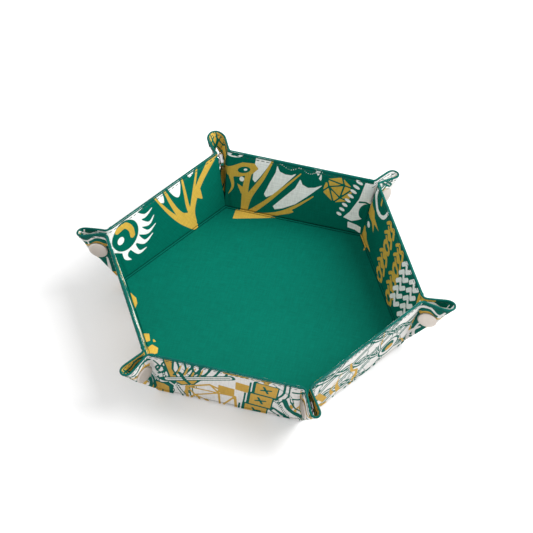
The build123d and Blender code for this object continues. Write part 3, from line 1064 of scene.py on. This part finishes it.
def ear_print(ink, face, ear):
    """Motifs that only the ears carry, past the wall's straight part."""
    draw = random.Random(100 * ear.wall.number + 10 * (ear.side + 1) + face)
    outward = -ear.side * face
    edge = SIDE / 2 + 2

    def place(reach, height):
        return outward * (edge + reach), height

    inside, outside, weight = EAR_GROUNDS[ear.azimuth]
    base = inside if face > 0 else outside
    if base != "ground":
        ink.shape(base, [place(0, 10), place(2, 50), place(36, 50), place(36, 10)])
    lines = {"plain": ("ground", "gold"), "ground": ("plain", "gold"), "gold": ("ground", "ground")}[base]
    for step in range(7):
        reach = 1 + 3.8 * step + draw.uniform(-1, 1)
        low = 1.3 * reach + draw.uniform(1, 7)
        line = [place(reach, low), place(reach + draw.uniform(-2, 2), low + draw.uniform(6, 10)),
                place(reach + draw.uniform(0, 5), low + draw.uniform(15, 20))]
        wide = draw.uniform(0.7, 1.4) * weight
        ink.stroke(lines[step % 3 == 2], line, wide, wide * 0.4)
    for step in range(4):
        low = 41 - 4.2 * step
        line = [place(1 + 2 * step, low - 1.5), place(8, low + 1), place(14, low - 2), place(21, low + 0.5)]
        ink.stroke(lines[step % 2], line, 0.9 * weight, 0.5 * weight)


def make_ear_edge(ear):
    mid, normal, height, along, rim, distance = ear.grid(rims=edge_rows(EAR_EDGE + 0.3))
    half = (ear.half(rim, distance, height, along) + EDGE_PROUD) * round_edge(rim, EAR_EDGE_ROUND)
    blank = Ink(along, height)
    name = f"edge_{ear.body}"
    piece = shell(name, mid, normal, half, -half, ear.wall.flat(height, along),
                  lambda side: cloth_attributes(side, blank, rim), sharp=70)
    ear.blend(piece)
    return dress(piece, EDGE_LOOK)


# ================================================================== floor
def make_floor_layer(name, node, high, low, face, spacing):
    """Floor cloth as rings of points round the middle, up to the walls' floor strips."""
    edge = APOTHEM - FLOOR_STRIP
    rings = np.linspace(0.0, edge, int(edge / spacing))
    shares = np.linspace(-1, 1, int(SIDE / spacing) + 1)[:-1]
    share, ring = np.meshgrid(shares, rings, indexing="ij")
    along = share * ring * math.tan(HALF_CORNER)
    walls = [WallFrame(number) for number in range(1, WALLS + 1)]
    place = np.concatenate([
        ring[..., None] * wall.outward[:2] + along[..., None] * wall.along[:2] for wall in walls])
    mid = np.concatenate([place, np.full(place.shape[:2] + (1,), MIDDLE)], axis=-1)
    normal = np.zeros_like(mid)
    normal[..., 2] = 1
    ink = Ink(place[..., 0], place[..., 1])
    rim = np.full(place.shape[:2], FAR)
    high = np.full(place.shape[:2], high)
    low = np.full(place.shape[:2], low)
    piece = shell(name, mid, normal, high, low, place,
                  lambda _: cloth_attributes(face, ink, rim), ring=True)
    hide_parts(node)
    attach(piece, "base")
    return dress(piece, CLOTH_LOOK)


# ================================================================== stitching
def thread_mesh(name, places):
    """One low rounded stitch at each (centre, direction, normal)."""
    bm = bmesh.new()
    for centre, ahead, up in places:
        sideways = np.cross(up, ahead)
        turn = Matrix([[*row, 0] for row in np.stack([ahead, sideways, up], 1)] + [[0, 0, 0, 1]])
        size = Matrix.Diagonal((STITCH_LENGTH / 2 * MM, STITCH_WIDTH / 2 * MM, STITCH_HEIGHT / 2 * MM, 1))
        made = bmesh.ops.create_uvsphere(bm, u_segments=10, v_segments=6, radius=1.0)["verts"]
        for vert in made:
            # Squarer than a sphere along its length, as a pulled thread is
            vert.co.x, vert.co.z = vert.co.z, vert.co.x
            vert.co.x = math.copysign(abs(vert.co.x) ** 0.7, vert.co.x)
        bmesh.ops.transform(bm, verts=made, matrix=Matrix.Translation(Vector(centre) * MM) @ turn @ size)
    bmesh.ops.recalc_face_normals(bm, faces=bm.faces)
    return finish_mesh(name, bm, 180)


def make_wall_stitches(wall):
    places = []
    count = int(SIDE / STITCH_PITCH)
    draw = random.Random(wall.number)
    for step in range(count):
        along = (step + 0.5 - count / 2) * STITCH_PITCH
        height = np.array(REACH - STITCH_DEPTH + draw.uniform(-0.12, 0.12))
        half = float(wall_half_thickness(height, np.array(along), REACH - height))
        centre = wall.origin + height * wall.upright + along * wall.along
        for face in (1, -1):
            up = wall.inward * face
            ahead = unit(wall.along + wall.upright * draw.uniform(-0.05, 0.05))
            places.append((centre + wall.inward * face * (half + 0.06), ahead, up))
    piece = thread_mesh(f"stitches_wall_{wall.number}", places)
    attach(piece, f"wall_{wall.number}")
    return dress(piece, THREAD_LOOK)


def make_ear_stitches(ear):
    mid, normal, height, along, rim, distance = ear.grid(rims=STITCH_DEPTH + np.array([0.3, 0.0, -0.3]))
    line, ups, half = mid[:, 1], normal[:, 1], ear.half(rim, distance, height, along)[:, 1]
    runs = np.concatenate([[0], np.cumsum(np.linalg.norm(np.diff(line, axis=0), axis=1))])
    places = []
    for step in range(int(runs[-1] / STITCH_PITCH)):
        at = (step + 0.5) * STITCH_PITCH
        index = int(np.searchsorted(runs, at))
        ahead = unit(line[min(index + 2, len(line) - 1)] - line[max(index - 2, 0)])
        for face in (1, -1):
            centre = line[index] + ups[index] * face * (half[index] + 0.05)
            places.append((centre, ahead, ups[index] * face))
    piece = thread_mesh(f"stitches_{ear.body}", places)
    ear.blend(piece)
    return dress(piece, THREAD_LOOK)


# ================================================================== snaps
# Sections as (radius, distance outwards from the plane between the two halves of an ear)
CAP_SECTION = [
    (0, 4.62), (2.0, 4.60), (4.2, 4.52), (5.2, 4.44), (5.8, 4.30), (6.15, 4.05), (6.25, 3.7),
    (6.22, 3.35), (6.0, 3.15), (5.2, 3.2), (1.9, 3.3), (1.7, 2.6), (1.6, 1.5), (0, 1.5)]
SOCKET_SECTION = [
    (0, 1.4), (3.3, 1.38), (3.4, 0.2), (3.6, -0.42), (4.0, -0.55), (4.45, -0.35), (4.6, 0.3),
    (4.65, 1.1), (5.0, 1.25), (5.1, 1.5), (4.9, 1.75), (0, 1.75)]
STUD_SECTION = [
    (0, -0.85), (1.2, -0.8), (2.1, -0.5), (2.55, 0.0), (2.5, 0.5), (2.2, 0.9), (2.3, 1.15),
    (4.6, 1.2), (4.95, 1.35), (5.0, 1.6), (4.7, 1.8), (0, 1.8)]


def make_snap(ear):
    """Cap outside the ear half, and the socket ring or the stud inside it."""
    number = ear.wall.number
    if ear.side > 0:
        inner_name, node, section = f"snap_ring_{number}", f"snap_socket_{number}", SOCKET_SECTION
    else:
        inner_name, node, section = f"snap_stud_{number}_knob", f"snap_stud_{number}", STUD_SECTION
    cap_name = f"snap_cap_{side_name(ear.side)}_{number}"
    for name, outline, look in ((cap_name, CAP_SECTION, CAP_LOOK), (inner_name, section, CHROME_LOOK)):
        piece = spin(name, outline, ear.seat, -ear.across)
        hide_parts(node)
        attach(piece, ear.body)
        dress(piece, look)


# ================================================================== stage
TABLE_SIZE = 3.0            # metres, as is everything on the stage
TABLE_GAP = 0.0002
TABLE_GLOW = 0.28
WORLD_STRENGTH = 0.9
KEY_AZIMUTH = math.radians(27)      # 0 is +X, anticlockwise
KEY_ELEVATION = math.radians(46)
KEY_DISTANCE = 1.6
KEY_SIZE = 1.1
KEY_POWER = 35
KEY_TARGET = Vector((0, 0, 0.02))


def make_stage():
    bm = bmesh.new()
    bmesh.ops.create_grid(bm, x_segments=2, y_segments=2, size=TABLE_SIZE)
    table = finish_mesh("table", bm)
    table.location.z = -TABLE_GAP
    nodes = Nodes("table_white", 0.9)
    grain = nodes.noise(None, 60.0)
    nodes.shader.inputs["Specular IOR Level"].default_value = 0.0
    nodes.shader.inputs["Emission Color"].default_value = (1.0, 1.0, 1.0, 1)
    nodes.shader.inputs["Emission Strength"].default_value = TABLE_GLOW
    white = nodes.mix(nodes.spread(grain), (0.61, 0.61, 0.615), (0.63, 0.63, 0.63))
    table.data.materials.append(nodes.colour(white))


def direction(azimuth, elevation):
    level = math.cos(elevation)
    return Vector((math.cos(azimuth) * level, math.sin(azimuth) * level, math.sin(elevation)))


def make_lights():
    """Even white surroundings, and one large square light."""
    world = bpy.data.worlds.new("studio")
    world.use_nodes = True
    background = world.node_tree.nodes["Background"]
    background.inputs["Color"].default_value = (1.0, 1.0, 1.0, 1)
    background.inputs["Strength"].default_value = WORLD_STRENGTH
    bpy.context.scene.world = world
    light = bpy.data.lights.new("key", "AREA")
    light.size = KEY_SIZE
    light.energy = KEY_POWER
    lamp = bpy.data.objects.new("key", light)
    bpy.context.scene.collection.objects.link(lamp)
    away = direction(KEY_AZIMUTH, KEY_ELEVATION)
    lamp.location = KEY_TARGET + away * KEY_DISTANCE
    lamp.rotation_euler = away.to_track_quat("Z", "Y").to_euler()
    bpy.context.scene.view_settings.view_transform = "Standard"


CAMERA_AZIMUTH = math.radians(-90 + 13.32)
CAMERA_ELEVATION = math.radians(48.39)
CAMERA_ROLL = math.radians(1.94)
CAMERA_DISTANCE = 2.3194
CAMERA_TARGET = Vector((-0.0072, 0.0386, 0.0))
CAMERA_LENS = 243.4
SENSOR = 36.0


def make_camera():
    away = direction(CAMERA_AZIMUTH, CAMERA_ELEVATION)
    level = away.cross(Vector((0, 0, 1))).normalized() * -1
    rise = away.cross(level)
    right = level * math.cos(CAMERA_ROLL) + rise * math.sin(CAMERA_ROLL)
    top = away.cross(right)
    camera = bpy.data.objects.new("camera", bpy.data.cameras.new("camera"))
    camera.data.lens = CAMERA_LENS
    camera.data.sensor_width = SENSOR
    camera.data.clip_end = 20.0
    place = Matrix((right, top, away)).transposed().to_4x4()
    place.translation = CAMERA_TARGET + away * CAMERA_DISTANCE
    camera.matrix_world = place
    bpy.context.scene.collection.objects.link(camera)
    bpy.context.scene.camera = camera


# ================================================================== all pieces
make_camera()
make_lights()
make_stage()
make_floor_layer("floor_lining", "base_lining", MIDDLE, BOARD_HALF, 1, 1.1)
make_floor_layer("floor_cover", "base_cover", -BOARD_HALF, -MIDDLE, -1, 8.0)
paint(frame["nodes"]["base_board"], BOARD_LOOK)
for number in range(1, WALLS + 1):
    wall = WallFrame(number)
    make_wall_cloth(wall, 1, f"lining_wall_{number}", f"wall_lining_{number}")
    make_wall_cloth(wall, -1, f"cover_wall_{number}", f"wall_cover_{number}")
    make_wall_edge(wall)
    make_wall_stitches(wall)
    paint(frame["nodes"][f"wall_board_{number}"], BOARD_LOOK)
    for side in (1, -1):
        ear = Ear(wall, side)
        make_ear_cloth(ear)
        make_ear_edge(ear)
        make_ear_stitches(ear)
        make_snap(ear)
